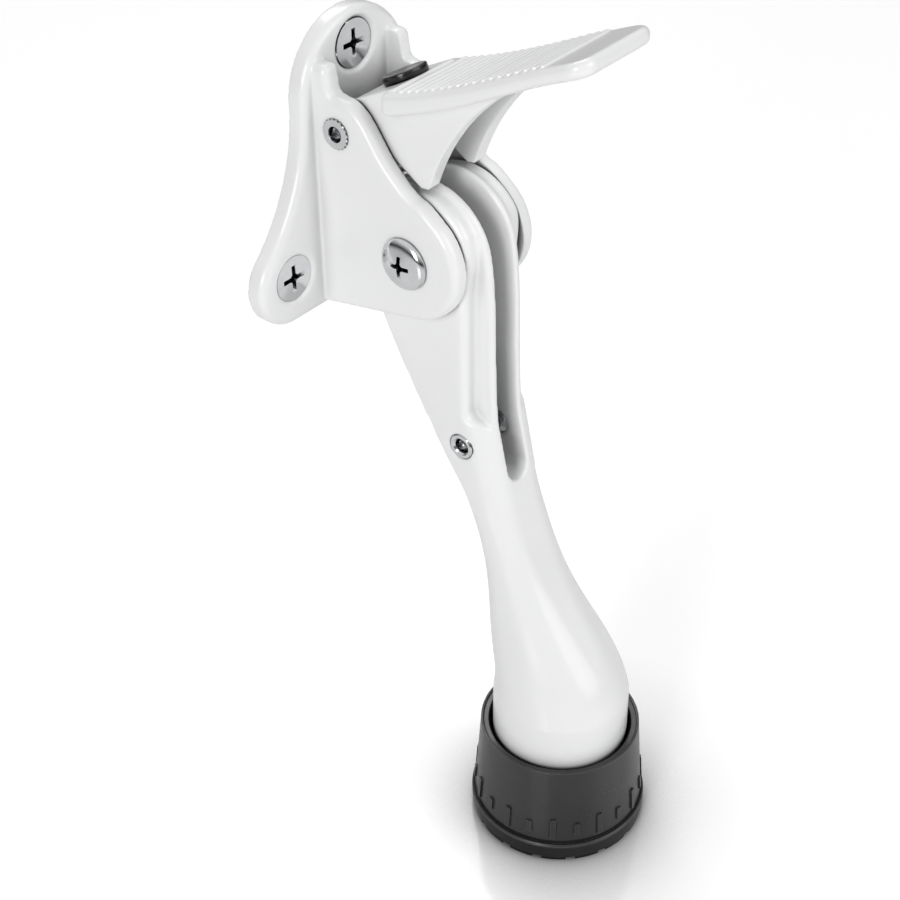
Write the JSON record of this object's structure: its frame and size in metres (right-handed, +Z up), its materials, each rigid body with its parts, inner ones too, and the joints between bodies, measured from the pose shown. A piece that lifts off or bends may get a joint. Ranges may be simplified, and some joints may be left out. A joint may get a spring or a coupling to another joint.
{
  "type": "kick-down door holder",
  "caption": "Kick-down floor door holder: three-lobed screw plate with two cheeks, folding slotted leg, sprung release pedal, and a screw-adjusted rubber foot.",
  "frame": {"origin": "on the plane of the door's face, midway between the two lower mounting screws", "axes": "+Y into the door, -Y out from it, +Z up, X across the door"},
  "size_m": [0.0496, 0.0687, 0.155],
  "materials": {
    "bracket": "gloss white paint",
    "leg": "gloss white paint",
    "pedal": "gloss white paint",
    "pedal_bumper": "moulded black rubber",
    "pedal_pin": "bright plated steel",
    "pivot_screws": "bright plated steel",
    "pivot_washers": "zinc plated",
    "spring_pin": "bright plated steel",
    "extension_spring": "zinc plated",
    "rubber_foot": "moulded black rubber",
    "foot_stud": "zinc plated",
    "mounting_screws": "bright plated steel"
  },
  "bodies": {
    "bracket": {"bracket": "bracket", "mounting_screws": "mounting_screws", "pivot_washers": "pivot_washers"},
    "leg": {"leg": "leg", "pivot_screws": "pivot_screws", "spring_pin": "spring_pin"},
    "pedal_hinge": {"pedal_pin": "pedal_pin"},
    "pedal": {"pedal": "pedal", "pedal_bumper": "pedal_bumper"},
    "spring": {"extension_spring": "extension_spring"},
    "foot_post": {"foot_stud": "foot_stud"},
    "foot": {"rubber_foot": "rubber_foot"}
  },
  "joints": [
    {"name": "leg_fold", "type": "hinge", "parent": "bracket", "child": "leg", "pos_m": [0, -0.0212, 0.0063], "axis": [-1, 0, 0], "range_deg": [0, 152]},
    {"name": "pedal_lift", "type": "hinge", "parent": "bracket", "child": "pedal_hinge", "pos_m": [0, -0.0078, 0.0248], "axis": [-1, 0, 0], "range_deg": [0, 53]},
    {"name": "pedal_press", "type": "hinge", "parent": "pedal_hinge", "child": "pedal", "pos_m": [0, -0.0078, 0.0248], "axis": [-1, 0, 0], "range_deg": [-3, 0]},
    {"name": "spring_swing", "type": "hinge", "parent": "bracket", "child": "spring", "pos_m": [0, -0.0078, 0.0248], "axis": [-1, 0, 0], "range_deg": [0, 102.7], "deforming": ["extension_spring"]},
    {"name": "foot_height", "type": "slide", "parent": "leg", "child": "foot_post", "axis": [0, 0, -1], "range_m": [-0.002, 0.003]},
    {"name": "foot_turn", "type": "hinge", "parent": "foot_post", "child": "foot", "pos_m": [0, -0.047, -0.1], "axis": [0, 0, -1], "range_deg": [-480, 720]}
  ],
  "couplings": [
    {"joint": "pedal_lift", "follows": "leg_fold", "ratio": 0.3486},
    {"joint": "spring_swing", "follows": "leg_fold", "ratio": 0.6756},
    {"joint": "foot_height", "follows": "foot_turn", "m_per_rad": 0.0002387}
  ]
}
